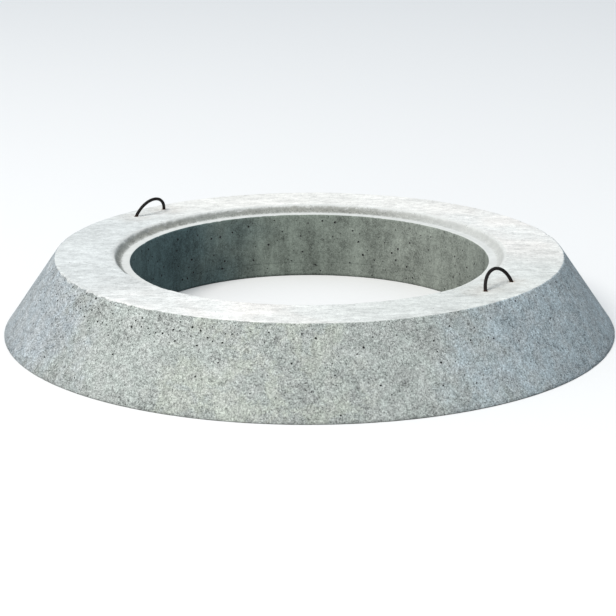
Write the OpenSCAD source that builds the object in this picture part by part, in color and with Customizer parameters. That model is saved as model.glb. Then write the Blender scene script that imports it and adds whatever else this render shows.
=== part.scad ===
// Conical precast concrete ring for the head of a round shaft or culvert.
// A wide flat base spreads the load, a slanted outer face runs up to a flat
// top, and a shallow recess round the bore has a flat seat for a cover slab.
// Two round bar lifting loops are cast into the top.
// Units are millimetres. +Z is up and runs along the axis of the bore.
// The origin is on that axis, at the underside.

/* [Ring] */
// Diameter of the base
base_d = 2170; // [1960:10:2600]
// Diameter of the flat top, measured to the upper arris
top_d = 1800; // [1740:10:1900]
// Overall height of the concrete
ring_h = 270; // [220:5:400]
// Diameter of the bore
bore_d = 1270; // [1000:5:1275]

/* [Cover seat] */
// Diameter of the recess round the bore where its shoulder meets the top
recess_d = 1400; // [1394:2:1480]
// Depth of the seat below the top
seat_depth = 27; // [12:1:40]
// Radius of the rounded shoulder, where the top turns down into the recess
shoulder_r = 15; // [6:1:20]
// Radius of the cove that runs from the shoulder out on to the seat
cove_r = 28; // [16:1:30]

/* [Edges] */
// Bevel of the upper outer arris, across the top
top_bevel = 4; // [1:1:12]
// Bevel where the seat meets the bore
bore_bevel = 3; // [1:1:4]
// Bevel round the foot of the bore
foot_bevel = 2; // [1:1:8]
// Height of the narrow upright edge round the base
base_edge = 3; // [1:1:12]

/* [Lifting loops] */
// Diameter of the round bar
bar_d = 12; // [8:1:16]
// Bend radius to the middle of the bar
bend_r = 77; // [60:1:95]
// How far the middle of the bend lies below the top of the concrete
bend_sink = 17; // [0:1:30]
// Straight leg in the concrete, below the bend
leg_len = 120; // [60:5:150]
// Angle by which a loop leans towards the bore, in degrees
loop_lean = 20; // [0:1:28]
// Distance of the right loop from the axis, along X
loop_right_x = 792; // [770:1:835]
// Distance of the left loop from the axis, along X
loop_left_x = 825; // [770:1:835]
// How far both loops stand to one side of the axis, along Y
loop_side = 35; // [-60:5:60]

/* [Hidden] */

base_r = base_d / 2;
top_r  = top_d / 2;
bore_r = bore_d / 2;
recess_r = recess_d / 2;
seat_z = ring_h - seat_depth;

// A point that lies a given distance down the slanted face from the arris
run   = base_r - top_r;
rise  = ring_h - base_edge;
slant = sqrt(run * run + rise * rise);
function down_face(s) = [top_r + run * s / slant, ring_h - rise * s / slant];

// The wall of the recess: shoulder, a slant if the depth needs one, and cove.
// The steeper the wall has to be, the shorter its run, up to 80 degrees.
arc_steps  = 5;
bends      = shoulder_r + cove_r;
steepest   = min(80, acos(max(0, 1 - seat_depth / bends)));
slant_drop = max(0, seat_depth - bends * (1 - cos(steepest)));
wall_run   = bends * sin(steepest) + slant_drop / tan(steepest);
seat_r     = recess_r - wall_run;
shoulder   = [for (i = [0 : arc_steps]) let (a = 90 + steepest * i / arc_steps)
    [recess_r + shoulder_r * cos(a), ring_h - shoulder_r + shoulder_r * sin(a)]];
cove       = [for (i = [slant_drop > 0.01 ? 0 : 1 : arc_steps])
    let (a = 270 + steepest * (1 - i / arc_steps))
    [seat_r + cove_r * cos(a), seat_z + cove_r + cove_r * sin(a)]];

// Half section of the ring, as radius and height
section = concat(
    [[bore_r + foot_bevel, 0],
     [base_r, 0],
     [base_r, base_edge],
     down_face(top_bevel),
     [top_r - top_bevel, ring_h]],
    shoulder,
    cove,
    [[bore_r + bore_bevel, seat_z],
     [bore_r, seat_z - bore_bevel],
     [bore_r, foot_bevel]]
);

concrete_colour = [0.74, 0.76, 0.75];
steel_colour    = [0.17, 0.13, 0.11];

// One lifting loop as bent: a half circle of bar with two straight legs,
// standing in the YZ plane with the middle of its bend at the origin.
module bent_bar() {
    rotate([90, 0, 90])
        rotate_extrude(angle = 180, $fn = 96)
            translate([bend_r, 0]) circle(d = bar_d, $fn = 32);
    for (side = [-1, 1])
        translate([0, side * bend_r, -leg_len])
            cylinder(d = bar_d, h = leg_len, $fn = 32);
}

// The same loop where it stands in the ring. It leans about the line where it
// leaves the concrete, so the distance x is held at the surface.
module placed_bar(x) {
    translate([x, loop_side, ring_h])
        rotate([0, x > 0 ? -loop_lean : loop_lean, 0])
            translate([0, 0, -bend_sink])
                bent_bar();
}

// The cast ring, with the sockets that the legs of the loops fill
module concrete_ring() {
    color(concrete_colour)
        difference() {
            rotate_extrude($fn = 180) polygon(section);
            placed_bar(loop_right_x);
            placed_bar(-loop_left_x);
        }
}

module lifting_loop_right() {
    color(steel_colour) placed_bar(loop_right_x);
}

module lifting_loop_left() {
    color(steel_colour) placed_bar(-loop_left_x);
}

concrete_ring();
lifting_loop_right();
lifting_loop_left();
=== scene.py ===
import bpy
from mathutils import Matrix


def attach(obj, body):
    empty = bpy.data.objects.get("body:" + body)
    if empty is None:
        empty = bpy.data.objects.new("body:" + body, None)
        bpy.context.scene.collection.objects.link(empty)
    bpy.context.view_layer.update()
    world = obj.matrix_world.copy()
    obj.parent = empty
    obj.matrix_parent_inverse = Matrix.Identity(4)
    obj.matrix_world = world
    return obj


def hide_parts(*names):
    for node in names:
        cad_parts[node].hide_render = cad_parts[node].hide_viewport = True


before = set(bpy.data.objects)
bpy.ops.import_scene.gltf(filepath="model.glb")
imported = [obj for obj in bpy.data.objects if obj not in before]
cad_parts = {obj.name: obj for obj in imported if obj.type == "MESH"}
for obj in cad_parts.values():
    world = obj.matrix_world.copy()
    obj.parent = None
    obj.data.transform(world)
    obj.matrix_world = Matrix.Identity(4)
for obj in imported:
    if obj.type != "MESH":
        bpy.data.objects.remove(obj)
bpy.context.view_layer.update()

import math

import bpy
import numpy as np
from mathutils import Matrix, Vector

# ------------------------------------------------------------------ sizes
# The ring's section, in metres, as the CAD has it.
BASE_R, TOP_R, RING_H, BORE_R = 1.085, 0.900, 0.270, 0.635
RECESS_R, SEAT_Z, BASE_EDGE = 0.700, 0.243, 0.003
# The step down to the seat: a rounded shoulder and a cove, with no slant between.
SHOULDER, COVE = 0.015, 0.028
STEEPEST = math.acos(1 - (RING_H - SEAT_Z) / (SHOULDER + COVE))
SEAT_R = RECESS_R - (SHOULDER + COVE) * math.sin(STEEPEST)
# The loops: bar, bend, how they stand in the top.
BAR_R, BEND_R, SINK, LEG = 0.006, 0.077, 0.017, 0.120
LEAN, LOOP_Y = math.radians(20), 0.035
LOOPS = {"lifting_loop_right": 0.792, "lifting_loop_left": -0.825}

N = 600  # columns round the ring
TAU = 2 * math.pi


# ------------------------------------------------------------ smooth noise
def smooth_noise(theta, s, cells, pitch, seed):
    """Noise in -1..1 that closes round the ring: cells round it, and one value per pitch metres along the section."""
    rng = np.random.default_rng(seed)
    rows = int(math.ceil((s.max() - s.min()) / pitch)) + 3
    grid = rng.uniform(-1, 1, (cells, rows))
    a = (theta / TAU * cells) % cells
    b = (s - s.min()) / pitch
    i, j = np.floor(a).astype(int), np.floor(b).astype(int)
    fa, fb = a - i, b - j
    fa, fb = fa * fa * (3 - 2 * fa), fb * fb * (3 - 2 * fb)
    i0, i1 = i % cells, (i + 1) % cells
    return (
        grid[i0, j] * (1 - fa) * (1 - fb)
        + grid[i1, j] * fa * (1 - fb)
        + grid[i0, j + 1] * (1 - fa) * fb
        + grid[i1, j + 1] * fa * fb
    )


def between(x, low, high):
    t = np.clip((x - low) / (high - low), 0, 1)
    return t * t * (3 - 2 * t)


# ---------------------------------------------------------------- section
# The rows run up the cone, in across the top, down the recess wall, across
# the seat, down the bore and out along the underside. Each is radius, height
# and the strip of the bake map that starts there.
slant = math.hypot(BASE_R - TOP_R, RING_H - BASE_EDGE)
cone_dir = ((BASE_R - TOP_R) / slant, -(RING_H - BASE_EDGE) / slant)


def down_cone(s):
    return TOP_R + cone_dir[0] * s, RING_H + cone_dir[1] * s


def on_shoulder(a):
    return RECESS_R - SHOULDER * math.sin(a), RING_H - SHOULDER * (1 - math.cos(a))


def on_cove(a):
    return SEAT_R + COVE * math.sin(a), SEAT_Z + COVE * (1 - math.cos(a))


rows = []


def row(point, strip):
    rows.append((point[0], point[1], strip))


row((BASE_R - 0.0012, 0.0), "cone")
row((BASE_R, 0.0012), "cone")
row((BASE_R, BASE_EDGE), "cone")
for k in range(1, 32):
    row(down_cone(slant - (slant - 0.020) * k / 31), "cone")
row(down_cone(0.0130), "cone")
row(down_cone(0.0080), "cone")
row(down_cone(0.0045), "cone")
row(down_cone(0.0021), "cone")
ARRIS = len(rows)
row((TOP_R - 0.0006, RING_H - 0.0009), "top")
row((TOP_R - 0.0025, RING_H - 0.0002), "top")
row((TOP_R - 0.0050, RING_H), "top")
row((TOP_R - 0.0090, RING_H), "top")
row((TOP_R - 0.0140, RING_H), "top")
for k in range(1, 17):
    row((TOP_R - 0.014 - (TOP_R - 0.014 - RECESS_R - 0.012) * k / 16, RING_H), "top")
row((RECESS_R + 0.0050, RING_H), "recess")
for k in range(0, 6):
    row(on_shoulder(STEEPEST * k / 6), "recess")
LIP = len(rows) - 2
for k in range(0, 8):
    row(on_cove(STEEPEST * (1 - k / 8)), "recess")
for k in range(0, 4):
    row((SEAT_R - (SEAT_R - BORE_R - 0.003) * k / 3, SEAT_Z), "recess")
row((BORE_R + 0.0008, SEAT_Z - 0.0008), "recess")
for k in range(0, 29):
    row((BORE_R, SEAT_Z - 0.003 + (0.002 - SEAT_Z + 0.003) * k / 28), "bore")
row((BORE_R + 0.0020, 0.0), "foot")
for k in range(1, 8):
    row((BORE_R + 0.002 + (BASE_R - 0.0012 - BORE_R - 0.002) * k / 8, 0.0), "foot")

M = len(rows)
prof = np.array([(a, b) for a, b, _ in rows])
strip_of = [c for _, _, c in rows]
step = np.linalg.norm(np.roll(prof, -1, 0) - prof, axis=1)
along = np.concatenate([[0], np.cumsum(step)])  # M + 1 values, the last closes
S = along[:-1]
tangent = np.roll(prof, -1, 0) - np.roll(prof, 1, 0)
tangent /= np.linalg.norm(tangent, axis=1)[:, None]
outward = np.stack([tangent[:, 1], -tangent[:, 0]], 1)

theta = TAU * np.arange(N) / N
T, SS = np.meshgrid(theta, S, indexing="ij")
first = {}
for j, name in enumerate(strip_of):
    first.setdefault(name, j)
J = np.arange(M)
is_cone = (J >= 2) & (J < ARRIS)
is_top = (J >= ARRIS) & (J < first["recess"])
is_recess = (J >= first["recess"]) & (J < first["bore"])
is_bore = (J >= first["bore"]) & (J < first["foot"])
s_arris = S[ARRIS]
s_lip = S[LIP]
s_edge = S[first["bore"] - 1]
s_foot = S[first["foot"]]

# ----------------------------------------------- unevenness of a cast face
push = np.zeros((N, M))  # along the outward normal, in metres
wave = 0.6 * smooth_noise(T, SS, 23, 0.17, 11) + 0.4 * smooth_noise(T, SS, 61, 0.07, 12)
fine = smooth_noise(T, SS, 211, 0.021, 13)
grain = smooth_noise(T, SS, 397, 0.0105, 14)
from_base = between(SS, S[2], S[2] + 0.03)
push += is_cone * from_base * (-0.00055 + 0.00045 * wave + 0.00012 * fine + 0.00007 * grain)
push += is_top * (-0.0006 + 0.0005 * wave + 0.00018 * fine + 0.0001 * grain)
push += is_recess * (-0.0003 + 0.0004 * wave + 0.00028 * fine + 0.00012 * grain)
push += is_bore * (-0.0005 + 0.0004 * wave + 0.00008 * grain)

# The edge of the recess wanders a little, as a hand-finished one does.
lip = np.exp(-(((SS - s_lip) / 0.009) ** 2)) * (is_recess | is_top)
push += lip * (
    0.0009 * smooth_noise(T, SS * 0, 83, 1.0, 21)
    + 0.0006 * smooth_noise(T, SS, 241, 0.008, 22)
)
# So does the top arris, more so on the stretch where it is worn.
worn_from, worn_to = math.radians(-121), math.radians(-84)


def worn_at(t):
    t = (np.asarray(t) + math.pi) % TAU - math.pi
    return between(t, worn_from - 0.05, worn_from + 0.08) * (
        1 - between(t, worn_to - 0.08, worn_to + 0.06)
    )


arris = np.exp(-(((SS - s_arris) / 0.005) ** 2)) * (is_cone | is_top)
push += arris * (
    0.0003 * smooth_noise(T, SS * 0, 191, 1.0, 23)
    - (0.0002 + 0.0013 * worn_at(T)) * (0.5 + 0.5 * smooth_noise(T, SS * 0, 277, 1.0, 24))
)

# Chips along the edges: where, how wide, how deep.
rng = np.random.default_rng(4021)


def bite(t0, s0, radius, depth, across):
    near = np.abs((theta - t0 + math.pi) % TAU - math.pi) * across < radius
    cols = np.nonzero(near)[0]
    if not len(cols):
        return
    dt = ((theta[cols] - t0 + math.pi) % TAU - math.pi) * across
    d2 = (dt[:, None] ** 2 + (S[None, :] - s0) ** 2) / radius**2
    push[cols] -= depth * np.clip(1 - d2, 0, 1) ** 1.5


for _ in range(260):
    bite(rng.uniform(worn_from, worn_to), s_arris + rng.uniform(-0.020, 0.002),
         rng.uniform(0.005, 0.012), rng.uniform(0.0006, 0.0032), 0.9)
for _ in range(170):
    bite(rng.uniform(0, TAU), s_arris + rng.uniform(-0.005, 0.003),
         rng.uniform(0.005, 0.011), rng.uniform(0.0004, 0.0018), 0.9)
for _ in range(190):
    bite(rng.uniform(0, TAU), s_lip + rng.uniform(-0.006, 0.014),
         rng.uniform(0.005, 0.013), rng.uniform(0.0004, 0.0022), 0.69)
for _ in range(60):
    bite(rng.uniform(0, TAU), s_edge + rng.uniform(-0.002, 0.004),
         rng.uniform(0.005, 0.009), rng.uniform(0.0004, 0.0018), 0.635)
for _ in range(16):
    bite(rng.uniform(0, TAU), s_foot + rng.uniform(-0.005, 0.000),
         rng.uniform(0.004, 0.008), rng.uniform(0.0006, 0.0016), 0.635)
for _ in range(60):
    bite(rng.uniform(0, TAU), S[2] + rng.uniform(-0.003, 0.002),
         rng.uniform(0.006, 0.014), rng.uniform(0.0005, 0.0022), 1.1)
push[:, first["foot"] + 1:] = 0
push[:, 0] = np.minimum(push[:, 0], 0)

Rg = prof[None, :, 0] + push * outward[None, :, 0]
Zg = prof[None, :, 1] + push * outward[None, :, 1]
Zg = np.clip(Zg, 0.0, None)
Rg = np.minimum(Rg, BASE_R - 0.0004)
grid = np.stack([Rg * np.cos(T), Rg * np.sin(T), Zg], 2)  # N, M, 3
cell_u = TAU * prof[:, 0] / N
cell_v = step


def on_grid(a, b):
    """The point at column a and row b, both with fractions."""
    i, j = int(math.floor(a)), int(math.floor(b))
    fa, fb = a - i, b - j
    p00, p10 = grid[i % N, j % M], grid[(i + 1) % N, j % M]
    p01, p11 = grid[i % N, (j + 1) % M], grid[(i + 1) % N, (j + 1) % M]
    return (p00 * (1 - fa) + p10 * fa) * (1 - fb) + (p01 * (1 - fa) + p11 * fa) * fb


def in_normal(a, b):
    e = 0.25
    du = on_grid(a + e, b) - on_grid(a - e, b)
    dv = on_grid(a, b + e) - on_grid(a, b - e)
    n = np.cross(du, dv)
    return -n / np.linalg.norm(n)


# ------------------------------------------------- faces, holes and sockets
verts = grid.reshape(-1, 3).tolist()
faces = []    # lists of (vertex, column, row)
inside = []   # 1 where the face is in an air hole
taken = np.zeros((N, M), bool)
rims = set()  # edges that stay sharp


def vid(i, j):
    return (i % N) * M + (j % M)


def face(corners, hole=0.0):
    faces.append(corners)
    inside.append(hole)


def ring_faces(outer, inner, hole):
    n = len(outer)
    for k in range(n):
        face([outer[k], outer[(k + 1) % n], inner[(k + 1) % n], inner[k]], hole)


def border(i0, j0, w, h):
    """The block's border, counter-clockwise seen from outside: along the columns first."""
    out = [(vid(i0 + a, j0), i0 + a, j0) for a in range(w)]
    out += [(vid(i0 + w, j0 + b), i0 + w, j0 + b) for b in range(h)]
    out += [(vid(i0 + w - a, j0 + h), i0 + w - a, j0 + h) for a in range(w)]
    out += [(vid(i0, j0 + h - b), i0, j0 + h - b) for b in range(h)]
    return out


def air_hole(i0, j0, w, ca, cb, radius, depth, r):
    """An air hole in a block of w by w cells, with its middle at column ca and row cb."""
    ru, rv = radius / cell_u[int(cb) % M], radius / cell_v[int(cb) % M]
    tilt, long = r.uniform(0, math.pi), r.uniform(0.82, 1.0)
    start = math.radians(22.5) if w == 1 else 0.0
    loop = border(i0, j0, w, w)
    if w == 2:  # the first of eight is a corner, at 225 degrees
        start = math.radians(225)
    else:
        start = math.radians(225 - 22.5)
    down = in_normal(ca, cb)
    rim, low = [], []
    for k in range(8):
        phi = start + k * math.pi / 4
        size = r.uniform(0.86, 1.0) * (1 - (1 - long) * math.cos(phi - tilt) ** 2)
        a, b = ca + ru * size * math.cos(phi), cb + rv * size * math.sin(phi)
        verts.append(on_grid(a, b).tolist())
        rim.append((len(verts) - 1, a, b))
        a, b = ca + 0.74 * (a - ca), cb + 0.74 * (b - cb)
        verts.append((on_grid(a, b) + down * depth * r.uniform(0.6, 0.8)).tolist())
        low.append((len(verts) - 1, a, b))
    verts.append((on_grid(ca, cb) + down * depth).tolist())
    middle = (len(verts) - 1, ca, cb)
    if w == 2:
        ring_faces(loop, rim, 0.0)
    else:
        for k in range(4):
            one, two = rim[2 * k], rim[2 * k + 1]
            face([loop[k], two, one])
            face([loop[k], loop[(k + 1) % 4], rim[(2 * k + 2) % 8], two])
    ring_faces(rim, low, 1.0)
    for k in range(8):
        face([low[k], low[(k + 1) % 8], middle], 1.0)
        rims.add(frozenset((rim[k][0], rim[(k + 1) % 8][0])))
    taken[np.ix_([(i0 + a) % N for a in range(w)], [(j0 + b) % M for b in range(w)])] = True


def row_at(s):
    j = int(np.searchsorted(along, s, side="right")) - 1
    return j + (s - along[j]) / step[j]


def loop_foot(x, y):
    """The top round a leg of a loop: a low collar of mortar, a gap at the bar, and a socket that the bar fills."""
    t, rad = math.atan2(y, x) % TAU, math.hypot(x, y)
    ca = t / TAU * N
    cb = row_at(s_arris + (TOP_R - rad) - 0.0002)
    i0, j0 = int(round(ca)) - 3, int(round(cb)) - 3
    loop = border(i0, j0, 6, 6)
    centre = np.array([x, y, RING_H])
    r = np.random.default_rng(int(1000 * abs(x)) + int(1000 * y))
    lean = -math.copysign(math.tan(LEAN), x)
    previous = loop
    turns = [math.atan2(verts[v][1] - y, verts[v][0] - x) for v, _, _ in loop]
    shape = [(0.0190, 0.0000, 0.10), (0.0145, 0.0005, 0.12), (0.0110, 0.0011, 0.11),
             (0.0089, 0.0010, 0.07), (0.0076, 0.0003, 0.03), (0.0068, -0.0012, 0.0), (0.0064, -0.0060, 0.0)]
    bumps = r.uniform(-1, 1, (len(shape), 24))
    bumps = 0.5 * bumps + 0.25 * (np.roll(bumps, 1, 1) + np.roll(bumps, -1, 1))
    for level, (rho, up, rough) in enumerate(shape):
        made = []
        for k, phi in enumerate(turns):
            rr = rho * (1 + rough * bumps[level, k])
            z = RING_H - 0.0006 + up * (1 + 0.7 * bumps[level, (k + 7) % 24]) if up >= 0 else RING_H + up
            shift = lean * min(0.0, up)
            # the bar leans, so its section in the top is a little longer along X
            px = x + shift + rr * math.cos(phi) * (1.06 if rho < 0.010 else 1.0)
            py = y + rr * math.sin(phi)
            a = (math.atan2(py, px) % TAU) / TAU * N
            a += N * round((ca - a) / N)
            b = row_at(s_arris + (TOP_R - math.hypot(px, py)) - 0.0002)
            verts.append([px, py, z])
            made.append((len(verts) - 1, a, b))
        ring_faces(previous, made, 0.0)
        previous = made
    verts.append([x + lean * -0.0075, y, RING_H - 0.0075])
    tip = (len(verts) - 1, ca, cb)
    for k in range(24):
        face([previous[k], previous[(k + 1) % 24], tip])
    taken[np.ix_([(i0 + a) % N for a in range(6)], [(j0 + b) % M for b in range(6)])] = True


for x in LOOPS.values():
    half = math.sqrt(BEND_R**2 - SINK**2)
    loop_foot(x, LOOP_Y - half)
    loop_foot(x, LOOP_Y + half)

# Air holes: the share of each face, where they gather, and how wide they are.
rng = np.random.default_rng(7702)
seams = {"cone": 3, "top": 3, "recess": 2, "bore": 2}


def free(i0, j0, w, strip):
    if any((i0 + a) % (N // seams[strip]) == 0 for a in range(1, w)):
        return False  # a hole never lies across a seam of the bake map
    near = np.ix_([(i0 + a) % N for a in range(-1, w + 1)], [(j0 + b) % M for b in range(-1, w + 1)])
    return not taken[near].any()


def try_hole(t, s, diameter, strip, deep=1.0):
    ca, cb = (t % TAU) / TAU * N, row_at(s)
    radius = diameter / 2
    j = int(cb)
    if strip_of[j % M] != strip:
        return False
    room = min(cell_u[j], cell_v[j])
    if radius < 0.40 * room:
        w, i0, j0 = 1, int(ca), j
    else:
        w, i0, j0 = 2, int(round(ca)) - 1, int(round(cb)) - 1
        radius = min(radius, 0.80 * min(cell_u[j], cell_v[max(j0, 0)], cell_v[(j0 + 1) % M]))
    if strip_of[j0 % M] != strip or strip_of[(j0 + w - 1) % M] != strip or strip_of[(j0 + w) % M] != strip:
        return False
    if not free(i0, j0, w, strip):
        return False
    ru, rv = 1.08 * radius / cell_u[j], 1.08 * radius / cell_v[j]
    if 2 * ru > w or 2 * rv > w:
        return False
    ca = min(max(ca, i0 + ru), i0 + w - ru)
    cb = min(max(cb, j0 + rv), j0 + w - rv)
    air_hole(i0, j0, w, ca, cb, radius, radius * deep * rng.uniform(0.9, 1.5), rng)
    return True


def scatter(count, strip, place, sizes, deep=1.0):
    made = tries = 0
    while made < count and tries < 30 * count:
        tries += 1
        t, s = place()
        made += try_hole(t, s, sizes(), strip, deep)
    return made


def small(low, high, power=2.2):
    return lambda: low + (high - low) * rng.uniform(0, 1) ** power


s_cone = S[2]
made = {}
made["worn"] = scatter(130, "cone", lambda: (rng.uniform(worn_from - 0.1, worn_to + 0.35), s_arris - 0.010 - abs(rng.normal(0, 0.034))), small(0.0032, 0.0100, 1.6), 1.3)
made["upper"] = scatter(300, "cone", lambda: (rng.uniform(0, TAU), s_arris - 0.014 - abs(rng.normal(0, 0.075))), small(0.0026, 0.0100, 2.4), 1.2)
made["cone"] = scatter(260, "cone", lambda: (rng.uniform(0, TAU), rng.uniform(s_cone + 0.01, s_arris - 0.03)), small(0.0026, 0.0075, 2.6), 1.1)
made["bore"] = scatter(520, "bore", lambda: (rng.uniform(0, TAU), rng.uniform(s_edge + 0.006, s_foot - 0.006)), small(0.0028, 0.0105, 2.2), 1.2)
made["wall"] = scatter(70, "recess", lambda: (rng.uniform(0, TAU), rng.uniform(s_lip - 0.006, s_lip + 0.020)), small(0.0018, 0.0030, 1.5), 1.0)
made["top"] = scatter(60, "top", lambda: (rng.uniform(0, TAU), rng.uniform(s_arris + 0.02, s_lip - 0.02)), small(0.0018, 0.0045, 2.5), 0.8)

for i in range(N):
    for j in range(M):
        if not taken[i, j]:
            face([(vid(i, j), i, j), (vid(i + 1, j), i + 1, j), (vid(i + 1, j + 1), i + 1, j + 1), (vid(i, j + 1), i, j + 1)])

# Vertices inside a block that a hole or foot replaced are left out.
used = np.zeros(len(verts), bool)
for f in faces:
    for c in f:
        used[c[0]] = True
number = np.cumsum(used) - 1
final = [v for v, u in zip(verts, used) if u]

mesh = bpy.data.meshes.new("concrete_ring_cast")
mesh.from_pydata(final, [], [[int(number[c[0]]) for c in f] for f in faces])
mesh.polygons.foreach_set("use_smooth", np.ones(len(faces), bool))

ends = np.empty(2 * len(mesh.edges), np.int32)
mesh.edges.foreach_get("vertices", ends)
keys = {frozenset((int(number[a]), int(number[b]))) for a, b in (tuple(e) for e in rims)}
sharp = np.array([frozenset((int(a), int(b))) in keys for a, b in ends.reshape(-1, 2)])
mesh.attributes.new("sharp_edge", "BOOLEAN", "EDGE").data.foreach_set("value", sharp)

corner_face = np.repeat(np.arange(len(faces)), [len(f) for f in faces])
hole_value = np.array(inside, np.float32)[corner_face]
mesh.attributes.new("air_hole", "FLOAT", "CORNER").data.foreach_set("value", hole_value)

# --------------------------------------------------------------- bake map
# Strips of the unrolled faces, at about the same scale, one above another.
TEXEL = 1 / 1024
PX = 0.00236  # metres of surface to a pixel, up the strips
GAP = 5 * TEXEL
layout, v0 = {}, GAP
ranges = {"cone": (0, ARRIS), "top": (ARRIS, first["recess"]), "recess": (first["recess"], first["bore"]), "bore": (first["bore"], first["foot"])}
for name, (ja, jb) in ranges.items():
    high = (along[jb] - along[ja]) / PX * TEXEL
    mean_r = float(prof[ja:jb + 1, 0].mean())
    for k in range(seams[name]):
        wide = min(TAU * mean_r / seams[name] / (0.00210 if name == "cone" else PX) * TEXEL, 1 - 2 * GAP)
        layout[name, k] = (GAP, v0, wide, high, along[ja], along[jb])
        v0 += high + GAP
assert v0 < 1.0, v0
top_right = GAP + layout["top", 0][2] + 2 * GAP
top_low = layout["top", 0][1]
top_span = layout["top", 2][1] + layout["top", 2][3] - top_low
foot_side = min(1 - GAP - top_right, top_span)


def s_of(b):
    j = int(math.floor(b))
    if j >= M:
        return along[M] if b >= M else along[j - M]
    return along[j] + (b - j) * (along[j + 1] - along[j])


uvs = np.empty((len(corner_face), 2), np.float32)
c = 0
for f in faces:
    mid_b = sum(x[2] for x in f) / len(f)
    mid_a = sum(x[1] for x in f) / len(f)
    strip = strip_of[int(mid_b) % M]
    if strip == "foot":
        for x in f:
            p = final[number[x[0]]]
            uvs[c] = (top_right + foot_side * (0.5 + p[0] / (2 * BASE_R)), top_low + foot_side * (0.5 + p[1] / (2 * BASE_R)))
            c += 1
        continue
    per = N // seams[strip]
    k = int((mid_a % N) // per)
    u0, low, wide, high, sa, sb = layout[strip, k]
    turn = math.floor(mid_a / N) * N
    for x in f:
        u = (x[1] - turn - k * per) / per
        v = (s_of(x[2]) - sa) / (sb - sa)
        uvs[c] = (u0 + wide * min(max(u, 0.0), 1.0), low + high * min(max(v, 0.0), 1.0))
        c += 1
layer = mesh.uv_layers.new(name="OFBake")
layer.uv.foreach_set("vector", uvs.ravel())
mesh.validate()
mesh.update()
ring = bpy.data.objects.new("concrete_ring_cast", mesh)
bpy.context.scene.collection.objects.link(ring)
print("ring", len(mesh.vertices), "vertices", sum(len(f) - 2 for f in faces), "triangles", made)


# ----------------------------------------------------------- lifting loops
def bent_bar(name, x):
    """Round bar bent over a half circle with two straight legs, ends slightly rounded by the shears."""
    sides = 20
    path = []
    for k in range(6):
        path.append((-BEND_R, -LEG + LEG * k / 6))
    for k in range(49):
        a = math.pi - math.pi * k / 48
        path.append((BEND_R * math.cos(a), BEND_R * math.sin(a)))
    for k in range(1, 7):
        path.append((BEND_R, -LEG * k / 6))
    path = np.array(path)
    d = np.gradient(path, axis=0)
    d /= np.linalg.norm(d, axis=1)[:, None]
    side = np.stack([d[:, 1], -d[:, 0]], 1)  # in the plane of the loop
    r = np.random.default_rng(88 if x > 0 else 89)
    scale = r.uniform(-1, 1, (len(path), sides))
    scale = 0.4 * scale + 0.3 * (np.roll(scale, 1, 1) + np.roll(scale, -1, 1))
    tilt = Matrix.Translation((x, LOOP_Y, RING_H)) @ Matrix.Rotation(
        -LEAN if x > 0 else LEAN, 4, "Y"
    ) @ Matrix.Translation((0, 0, -SINK))
    pts, quads = [], []

    def section(p, n, radius, bumps):
        for m in range(sides):
            a = TAU * m / sides
            rr = radius - 0.00009 * (1 + bumps[m])
            off = rr * math.cos(a)
            pts.append(tilt @ Vector((rr * math.sin(a), p[0] + n[0] * off, p[1] + n[1] * off)))

    section(path[0] + d[0] * 0.0, side[0], BAR_R - 0.0008, scale[0])
    for k in range(len(path)):
        shift = 0.0007 if k == 0 else (-0.0007 if k == len(path) - 1 else 0.0)
        section(path[k] + d[k] * shift, side[k], BAR_R, scale[k])
    section(path[-1], side[-1], BAR_R - 0.0008, scale[-1])
    count = len(path) + 2
    for k in range(count - 1):
        for m in range(sides):
            n = (m + 1) % sides
            quads.append([k * sides + m, (k + 1) * sides + m, (k + 1) * sides + n, k * sides + n])
    a = len(pts)
    pts.append(sum((Vector(p) for p in pts[:sides]), Vector()) / sides)
    pts.append(sum((Vector(p) for p in pts[(count - 1) * sides:count * sides]), Vector()) / sides)
    for m in range(sides):
        n = (m + 1) % sides
        quads.append([m, n, a])
        quads.append([(count - 1) * sides + n, (count - 1) * sides + m, a + 1])
    me = bpy.data.meshes.new(name)
    me.from_pydata([tuple(p) for p in pts], [], quads)
    me.polygons.foreach_set("use_smooth", np.ones(len(quads), bool))
    me.validate()
    me.update()
    ob = bpy.data.objects.new(name, me)
    bpy.context.scene.collection.objects.link(ob)
    return ob


bars = {node: bent_bar(node + "_bar", x) for node, x in LOOPS.items()}


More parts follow.
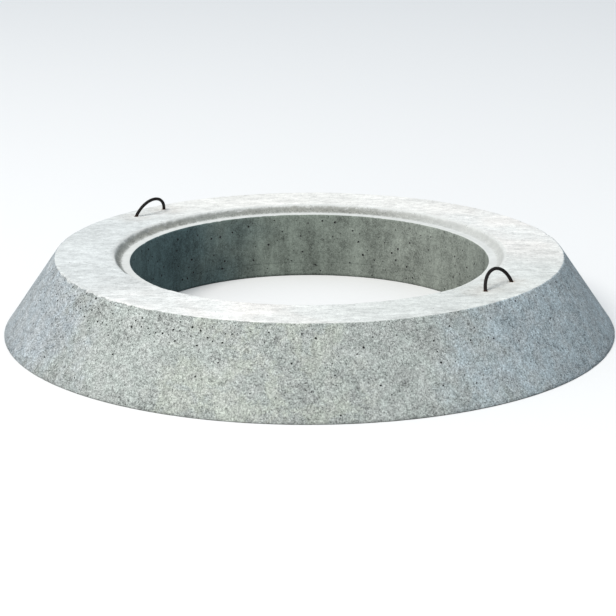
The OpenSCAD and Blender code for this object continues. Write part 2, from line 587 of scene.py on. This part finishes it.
# --------------------------------------------------------------- materials
class Nodes:
    """Short names for the shader nodes used below."""

    def __init__(self, name):
        self.mat = bpy.data.materials.new(name)
        self.mat.use_nodes = True
        self.t = self.mat.node_tree
        self.t.nodes.clear()
        self.out = self.t.nodes.new("ShaderNodeOutputMaterial")
        self.bsdf = self.t.nodes.new("ShaderNodeBsdfPrincipled")
        self.link(self.bsdf.outputs[0], self.out.inputs[0])

    def link(self, a, b):
        self.t.links.new(a, b)

    def put(self, socket, value):
        if isinstance(value, bpy.types.NodeSocket):
            self.link(value, socket)
        elif value is not None:
            socket.default_value = value

    def math(self, op, a, b=None, c=None, clamp=False):
        n = self.t.nodes.new("ShaderNodeMath")
        n.operation, n.use_clamp = op, clamp
        for s, v in zip(n.inputs, (a, b, c)):
            self.put(s, v)
        return n.outputs[0]

    def add(self, *terms):
        total = terms[0]
        for t in terms[1:]:
            total = self.math("ADD", total, t)
        return total

    def mul(self, *terms):
        total = terms[0]
        for t in terms[1:]:
            total = self.math("MULTIPLY", total, t)
        return total

    def sub(self, a, b):
        return self.math("SUBTRACT", a, b)

    def step(self, x, low, high, to0=0.0, to1=1.0):
        n = self.t.nodes.new("ShaderNodeMapRange")
        n.interpolation_type = "SMOOTHSTEP"
        for s, v in zip(n.inputs, (x, low, high, to0, to1)):
            self.put(s, v)
        return n.outputs[0]

    def vector(self, x, y, z):
        n = self.t.nodes.new("ShaderNodeCombineXYZ")
        for s, v in zip(n.inputs, (x, y, z)):
            self.put(s, v)
        return n.outputs[0]

    def noise(self, vec, scale, detail=2.0, rough=0.5, twist=0.0, colour=False):
        n = self.t.nodes.new("ShaderNodeTexNoise")
        n.noise_dimensions = "3D"
        self.put(n.inputs["Vector"], vec)
        self.put(n.inputs["Scale"], scale)
        self.put(n.inputs["Detail"], detail)
        self.put(n.inputs["Roughness"], rough)
        self.put(n.inputs["Distortion"], twist)
        return n.outputs["Color" if colour else "Fac"]

    def cells(self, vec, scale, random=1.0):
        n = self.t.nodes.new("ShaderNodeTexVoronoi")
        self.put(n.inputs["Vector"], vec)
        self.put(n.inputs["Scale"], scale)
        self.put(n.inputs["Randomness"], random)
        return n.outputs["Distance"], n.outputs["Color"]

    def mix(self, fac, a, b, kind="MIX"):
        n = self.t.nodes.new("ShaderNodeMix")
        n.data_type, n.blend_type = "RGBA", kind
        n.clamp_factor = True
        self.put(n.inputs[0], fac)
        self.put(n.inputs[6], a if isinstance(a, bpy.types.NodeSocket) else (*a, 1))
        self.put(n.inputs[7], b if isinstance(b, bpy.types.NodeSocket) else (*b, 1))
        return n.outputs[2]

    def scaled(self, colour, factor):
        n = self.t.nodes.new("ShaderNodeVectorMath")
        n.operation = "SCALE"
        self.put(n.inputs[0], colour if isinstance(colour, bpy.types.NodeSocket) else tuple(colour))
        self.put(n.inputs["Scale"], factor)
        return n.outputs[0]

    def bump(self, height, strength, distance, normal=None):
        n = self.t.nodes.new("ShaderNodeBump")
        self.put(n.inputs["Strength"], strength)
        self.put(n.inputs["Distance"], distance)
        self.put(n.inputs["Height"], height)
        if normal is not None:
            self.link(normal, n.inputs["Normal"])
        return n.outputs[0]

    def place(self):
        return self.t.nodes.new("ShaderNodeTexCoord").outputs["Object"]

    def split(self, vec):
        n = self.t.nodes.new("ShaderNodeSeparateXYZ")
        self.link(vec, n.inputs[0])
        return n.outputs

    def attribute(self, name):
        n = self.t.nodes.new("ShaderNodeAttribute")
        n.attribute_name = name
        return n.outputs["Fac"]


def signed(g, value, weight):
    """A noise of 0..1 as a share of weight either side of nought."""
    return g.mul(g.sub(value, 0.5), 2 * weight)


def concrete():
    g = Nodes("cast_concrete")
    P = g.place()
    x, y, z = g.split(P)
    r = g.math("SQRT", g.add(g.mul(x, x), g.mul(y, y)))
    ux, uy = g.math("DIVIDE", x, r), g.math("DIVIDE", y, r)

    def towards(degrees):
        """1 on the side that faces this way, -1 on the other."""
        a = math.radians(degrees)
        return g.add(g.mul(ux, math.cos(a)), g.mul(uy, math.sin(a)))

    # Noises that all the faces share
    clouds = g.noise(P, 2.6, 3, 0.55, 0.4)
    clouds2 = g.noise(g.vector(g.add(x, 3.1), g.add(y, -1.7), g.add(z, 0.6)), 4.1, 2, 0.5, 0.3)
    patches = g.noise(P, 13, 4, 0.62, 0.5)
    mottle = g.noise(P, 42, 3, 0.66, 0.5)
    blot = g.step(g.noise(P, 105, 3, 0.70, 0.9), 0.38, 0.64)
    speck = g.noise(P, 165, 2, 0.68)
    fine = g.noise(P, 330, 2, 0.68)

    # Where the faces meet. e is the way from the upper arris: + down the cone.
    e = g.sub(g.math("DIVIDE", g.sub(RING_H, z), -cone_dir[1]), g.math("MAXIMUM", g.sub(TOP_R, r), 0.0))
    worn = g.step(towards(-103), 0.925, 0.975)
    spill = g.noise(g.vector(g.mul(ux, 26), g.mul(uy, 26), g.mul(z, 22)), 1.0, 5, 0.72)
    ragged = g.mul(signed(g, spill, 1.0), g.add(0.0045, g.mul(worn, 0.030)))
    top_mask = g.step(g.add(e, ragged, g.mul(worn, -0.0035)), 0.0014, -0.0014)
    bore_mask = g.step(r, BORE_R + 0.0026, BORE_R + 0.0012)
    foot_mask = g.step(z, 0.0008, 0.0003)

    # Cone: grey cement skin, bluer at two ends as painted sky reflection and painted bluish shade, olive in one
    # stretch, pale flecks
    drift = g.add(signed(g, clouds2, 0.16), signed(g, patches, 0.14))
    # painted sky reflection: bluer on the end towards -130 degrees
    sky_sheen_blue_left = g.step(g.add(towards(-130), drift), 0.80, 0.96)
    # painted bluish shade: bluer on the end towards 15 degrees, which faces away from the key light
    shade_blue_right = g.step(g.add(towards(15), drift), 0.72, 0.94)
    cone_c = g.mix(sky_sheen_blue_left, (0.406, 0.442, 0.420), (0.382, 0.426, 0.452))
    cone_c = g.mix(shade_blue_right, cone_c, (0.398, 0.464, 0.492))
    olive = g.mul(
        g.step(g.add(towards(-60), signed(g, clouds2, 0.10)), 0.955, 0.985), g.step(patches, 0.44, 0.56), 0.65
    )
    cone_c = g.mix(olive, cone_c, (0.395, 0.424, 0.372))
    tint = g.step(g.noise(g.vector(g.add(x, 1.3), y, g.add(z, 2.2)), 21, 3, 0.6), 0.40, 0.60)
    cone_c = g.mix(g.mul(tint, 0.30), cone_c, (0.425, 0.428, 0.420))
    down_band = g.step(g.add(z, signed(g, patches, 0.03)), 0.045, 0.012)
    cone_l = g.add(
        1.0,
        signed(g, clouds, 0.24),
        signed(g, patches, 0.36),
        signed(g, mottle, 0.44),
        signed(g, blot, 0.24),
        signed(g, speck, 0.95),
        signed(g, fine, 0.70),
        g.mul(down_band, -0.08),
    )
    cone_c = g.scaled(cone_c, g.math("MAXIMUM", cone_l, 0.25))

    # Top: pale cement struck off with a straight board, so its marks run one way
    a = math.radians(40.1)
    u = g.add(g.mul(x, math.cos(a)), g.mul(y, math.sin(a)))
    v = g.add(g.mul(x, -math.sin(a)), g.mul(y, math.cos(a)))
    streak = g.noise(g.vector(g.mul(u, 9), g.mul(v, 26), 0.0), 1.0, 5, 0.66, 0.5)
    streak2 = g.noise(g.vector(g.mul(u, 34), g.mul(v, 85), 3.0), 1.0, 3, 0.65, 0.4)
    top_c = g.mix(g.step(clouds2, 0.40, 0.66), (0.752, 0.760, 0.744), (0.772, 0.756, 0.730))
    top_c = g.mix(g.step(towards(215), 0.30, 0.95), top_c, (0.628, 0.652, 0.648))
    top_c = g.mix(g.mul(g.step(towards(-8), 0.55, 0.98), 0.95), top_c, (0.618, 0.640, 0.622))
    top_c = g.mix(g.mul(g.step(towards(130), 0.50, 1.0), 0.9), top_c, (0.790, 0.785, 0.755))
    top_l = g.add(
        1.0,
        signed(g, clouds, 0.12),
        signed(g, streak, 0.34),
        signed(g, streak2, 0.30),
        signed(g, patches, 0.18),
        signed(g, mottle, 0.22),
        signed(g, speck, 0.30),
        signed(g, fine, 0.20),
    )
    top_c = g.scaled(top_c, top_l)

    # The step down: greyer and pitted where the wall is most upright, with painted shade there, darkest on the side
    # that faces away from the key light and eased on the side that faces it; clean again on the seat
    way = g.math("DIVIDE", g.sub(RECESS_R, r), RECESS_R - SEAT_R)
    way = g.add(way, signed(g, speck, 0.16), signed(g, mottle, 0.14))
    wall_grey_and_shade = g.mul(g.step(way, 0.20, 0.44), g.step(way, 1.08, 0.62))
    # painted shade eased where the wall faces the key light
    faint = g.step(g.add(towards(38), signed(g, clouds2, 0.3)), 0.25, 0.85)
    wall_grey_and_shade = g.mul(wall_grey_and_shade, g.sub(1.0, g.mul(faint, 0.62)), g.step(z, SEAT_Z - 0.0005, SEAT_Z + 0.0005))
    wall_l = g.add(1.0, signed(g, patches, 0.25), signed(g, mottle, 0.45), signed(g, speck, 0.7), signed(g, fine, 0.4))
    # the wall's colour: the formed face's grey with painted shade
    wall_grey_and_shade_c = g.scaled(g.mix(clouds2, (0.262, 0.284, 0.276), (0.300, 0.294, 0.262)), g.math("MAXIMUM", wall_l, 0.3))
    in_recess = g.step(r, RECESS_R + 0.001, RECESS_R - 0.006)
    seat_l = g.add(1.0, signed(g, patches, 0.14), signed(g, mottle, 0.12), signed(g, fine, 0.10))
    seat_c = g.scaled((0.665, 0.678, 0.662), seat_l)

    # Bore: greenish grey, blotched, with a few upright runs; painted shade makes the side towards 215 degrees darker
    # and bluer
    run = g.noise(g.vector(g.mul(ux, 14), g.mul(uy, 14), g.mul(z, 2.6)), 1.0, 5, 0.66, 0.5)
    run2 = g.noise(g.vector(g.mul(ux, 60), g.mul(uy, 60), g.mul(z, 9)), 1.0, 3, 0.6, 0.3)
    cloud3 = g.noise(g.vector(g.add(x, -2.0), g.add(y, 1.0), g.mul(z, 0.8)), 8.5, 4, 0.62, 0.6)
    pale = g.mul(g.step(towards(138), 0.962, 0.996), g.step(run, 0.36, 0.62))
    # painted shade: darker and bluer towards the side that faces away from the key light
    bore_c = g.mix(g.step(g.add(towards(215), signed(g, clouds2, 0.3)), -0.60, 0.25), (0.292, 0.322, 0.286), (0.232, 0.268, 0.232))
    bore_c = g.mix(g.step(g.add(towards(215), signed(g, clouds2, 0.4)), 0.25, 0.90), bore_c, (0.125, 0.186, 0.190))
    bore_c = g.mix(g.mul(g.step(cloud3, 0.48, 0.64), 0.55), bore_c, g.scaled(bore_c, 1.04))
    bore_l = g.add(
        1.0,
        signed(g, clouds, 0.18),
        signed(g, run, 0.42),
        signed(g, run2, 0.16),
        signed(g, cloud3, 0.46),
        signed(g, patches, 0.32),
        signed(g, mottle, 0.44),
        signed(g, blot, 0.12),
        signed(g, speck, 0.62),
        signed(g, fine, 0.46),
        g.mul(pale, 0.24),
    )
    bore_c = g.scaled(bore_c, g.math("MAXIMUM", bore_l, 0.25))

    # Underside: plain, as the mould's bed leaves it
    foot_c = g.scaled((0.42, 0.43, 0.41), g.add(1.0, signed(g, patches, 0.3), signed(g, mottle, 0.3)))

    colour = g.mix(top_mask, cone_c, top_c)
    colour = g.mix(in_recess, colour, seat_c)
    colour = g.mix(wall_grey_and_shade, colour, wall_grey_and_shade_c)
    colour = g.mix(bore_mask, colour, bore_c)
    colour = g.mix(foot_mask, colour, foot_c)

    # Rust that has bled from the loops: a close stain at each foot, and a
    # faint warm one spread round the pair
    bleed = None
    half = math.sqrt(BEND_R**2 - SINK**2)
    for lx in LOOPS.values():
        for ly in (LOOP_Y - half, LOOP_Y + half):
            dx, dy = g.sub(x, lx), g.sub(y, ly)
            d = g.math("SQRT", g.add(g.mul(dx, dx), g.mul(dy, dy)))
            near = g.step(g.add(d, signed(g, patches, 0.09)), 0.110, 0.010)
            core = g.step(g.add(d, signed(g, speck, 0.006)), 0.014, 0.006)
            here = g.add(g.mul(near, 0.11), g.mul(core, 0.50))
            bleed = here if bleed is None else g.math("MAXIMUM", bleed, here)
    bleed = g.mul(bleed, g.step(z, RING_H - 0.02, RING_H - 0.005))
    colour = g.mix(bleed, colour, (0.50, 0.36, 0.25))

    # Pin holes too small to be cut, drawn dark with painted shade and dented
    d1, c1 = g.cells(P, 88)
    pick = g.split(c1)
    pin = g.mul(g.step(d1, g.add(0.03, g.mul(pick[1], 0.11)), 0.02), g.step(pick[0], 0.80, 0.83))
    d2, c2 = g.cells(P, 200)
    pick2 = g.split(c2)
    crowded = g.step(g.add(e, signed(g, patches, 0.06)), 0.120, 0.0)
    close = g.mul(g.step(g.add(e, signed(g, patches, 0.05)), 0.055, 0.012), g.step(towards(-103), 0.87, 0.96))
    enough = g.sub(0.90, g.mul(close, 0.34))
    pin2 = g.mul(g.step(d2, g.add(0.24, g.mul(close, 0.10)), 0.08), g.step(pick2[0], enough, g.add(enough, 0.03)))
    formed = g.sub(1.0, g.mul(top_mask, 0.85))
    pins = g.mul(g.math("MAXIMUM", g.mul(pin, g.add(0.75, g.mul(crowded, 0.25))), g.mul(pin2, 0.75)), formed)
    # painted shade, with some dust, darkens the cut air holes and the pin holes
    holes = g.math("MAXIMUM", g.mul(g.attribute("air_hole"), 0.96), g.mul(pins, 0.78))
    colour = g.mix(holes, colour, g.scaled(colour, 0.10))

    g.put(g.bsdf.inputs["Base Color"], colour)
    rough = g.add(0.90, signed(g, patches, 0.06), signed(g, mottle, 0.08), g.mul(top_mask, -0.04))
    g.put(g.bsdf.inputs["Roughness"], g.math("MINIMUM", rough, 1.0))
    g.bsdf.inputs["Specular IOR Level"].default_value = 0.25

    coarse = g.add(
        g.mul(mottle, 0.8),
        g.mul(patches, 0.5),
        g.mul(streak, g.mul(top_mask, 0.8)),
        g.mul(streak2, g.mul(top_mask, 0.5)),
    )
    n1 = g.bump(coarse, 0.60, 0.0014)
    small_h = g.sub(g.add(g.mul(speck, 0.8), g.mul(fine, 0.6)), g.mul(pins, 1.6))
    g.link(g.bump(small_h, 0.70, 0.0009, n1), g.bsdf.inputs["Normal"])
    return g.mat


def bar_steel():
    g = Nodes("bar_mill_scale")
    P = g.place()
    x, y, z = g.split(P)
    broad = g.noise(P, 38, 4, 0.65, 0.4)
    scale = g.noise(P, 230, 4, 0.7, 0.3)
    fine = g.noise(P, 900, 2, 0.6)
    c = g.mix(g.step(scale, 0.38, 0.62), (0.0060, 0.0050, 0.0048), (0.0120, 0.0090, 0.0078))
    low = g.mul(g.step(z, RING_H + 0.012, RING_H - 0.002), g.step(scale, 0.30, 0.60))
    rust = g.math("MAXIMUM", g.mul(g.step(broad, 0.54, 0.72), g.step(scale, 0.46, 0.62)), low)
    c = g.mix(g.mul(rust, 0.60), c, (0.060, 0.024, 0.012))
    g.put(g.bsdf.inputs["Base Color"], c)
    g.put(g.bsdf.inputs["Roughness"], g.add(0.66, g.mul(rust, 0.22), signed(g, fine, 0.12)))
    g.bsdf.inputs["Metallic"].default_value = 0.0
    g.bsdf.inputs["Specular IOR Level"].default_value = 0.22
    h = g.add(g.mul(scale, 0.7), g.mul(fine, 0.3), g.mul(rust, 0.3))
    g.link(g.bump(h, 0.7, 0.0004), g.bsdf.inputs["Normal"])
    return g.mat


mesh.materials.append(concrete())
steel = bar_steel()
for ob in bars.values():
    ob.data.materials.append(steel)

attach(ring, "root")
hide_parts("concrete_ring")
for node, ob in bars.items():
    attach(ob, "root")
    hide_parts(node)


# ----------------------------------------------------------- floor, light
def plain_floor():
    me = bpy.data.meshes.new("floor")
    size = 60.0
    me.from_pydata([(-size, -size, 0), (size, -size, 0), (size, size, 0), (-size, size, 0)], [], [[0, 1, 2, 3]])
    ob = bpy.data.objects.new("floor", me)
    bpy.context.scene.collection.objects.link(ob)
    ob.location.z = -0.0004
    g = Nodes("floor_paper")
    g.bsdf.inputs["Base Color"].default_value = (0.86, 0.86, 0.86, 1)
    g.bsdf.inputs["Roughness"].default_value = 0.9
    g.bsdf.inputs["Specular IOR Level"].default_value = 0.2
    me.materials.append(g.mat)
    ob.visible_diffuse = False
    ob.visible_glossy = False
    ob.visible_shadow = False
    return ob


plain_floor()

KEY_AZIMUTH, KEY_HEIGHT, KEY_AWAY = math.radians(265), math.radians(50), 20.0
lamp = bpy.data.lights.new("key", "AREA")
lamp.shape, lamp.size = "DISK", 10.0
lamp.energy = 2.57 * math.pi * KEY_AWAY**2
lamp.color = (1.0, 0.965, 0.915)
key = bpy.data.objects.new("key", lamp)
bpy.context.scene.collection.objects.link(key)
toward = Vector((math.cos(KEY_AZIMUTH) * math.cos(KEY_HEIGHT), math.sin(KEY_AZIMUTH) * math.cos(KEY_HEIGHT), math.sin(KEY_HEIGHT)))
key.location = toward * KEY_AWAY + Vector((0, 0, 0.13))
key.rotation_mode = "QUATERNION"
key.rotation_quaternion = toward.to_track_quat("Z", "Y")

world = bpy.data.worlds.new("studio")
bpy.context.scene.world = world
world.use_nodes = True
t = world.node_tree
t.nodes.clear()
coord = t.nodes.new("ShaderNodeTexCoord")
split = t.nodes.new("ShaderNodeSeparateXYZ")
height = t.nodes.new("ShaderNodeMapRange")
height.interpolation_type = "SMOOTHSTEP"
height.inputs["From Min"].default_value = -0.06
height.inputs["From Max"].default_value = 0.10
blend = t.nodes.new("ShaderNodeMix")
blend.data_type = "RGBA"
blend.inputs[6].default_value = (0.036, 0.036, 0.034, 1)
blend.inputs[7].default_value = (0.578, 0.626, 0.672, 1)
back = t.nodes.new("ShaderNodeBackground")
out = t.nodes.new("ShaderNodeOutputWorld")
t.links.new(coord.outputs["Generated"], split.inputs[0])
t.links.new(split.outputs[2], height.inputs["Value"])
t.links.new(height.outputs[0], blend.inputs[0])
t.links.new(blend.outputs[2], back.inputs["Color"])
# The sky falls off a little towards the horizon.
falloff = t.nodes.new("ShaderNodeMapRange")
for name, value in (("From Min", 0.0), ("From Max", 0.6), ("To Min", 0.90), ("To Max", 1.03)):
    falloff.inputs[name].default_value = value
t.links.new(split.outputs[2], falloff.inputs["Value"])
t.links.new(falloff.outputs[0], back.inputs["Strength"])
t.links.new(back.outputs[0], out.inputs["Surface"])

# ------------------------------------------------------------------ camera
# The camera that fits the photograph's ellipses, turned into this frame.
PITCH, YAW, ROLL = 0.2869102, -0.0007366, 0.0022448
AWAY, RISE, FOCAL = 6.5586744 * 1.0824, 0.2941577, 1975.463
TURN = math.radians(40.1)
cp, sp, cy, sy, cr, sr = (f(a) for a in (PITCH, YAW, ROLL) for f in (math.cos, math.sin))
forward = Vector((sy * cp, cy * cp, -sp))
right0 = Vector((cy, -sy, 0))
down0 = forward.cross(right0)
right = cr * right0 + sr * down0
down = -sr * right0 + cr * down0
turn = Matrix.Rotation(TURN, 3, "Z")
where = turn @ Vector((0, -AWAY * math.cos(RISE), AWAY * math.sin(RISE)))
axes = Matrix((turn @ right, turn @ -down, turn @ -forward)).transposed()
cam_data = bpy.data.cameras.new("camera")
cam_data.sensor_width = 36.0
cam_data.lens = FOCAL / 616 * 36.0
cam_data.clip_start, cam_data.clip_end = 0.05, 300
cam = bpy.data.objects.new("camera", cam_data)
bpy.context.scene.collection.objects.link(cam)
cam.matrix_world = Matrix.Translation(where) @ axes.to_4x4()
bpy.context.scene.camera = cam
bpy.context.scene.view_settings.view_transform = "Standard"
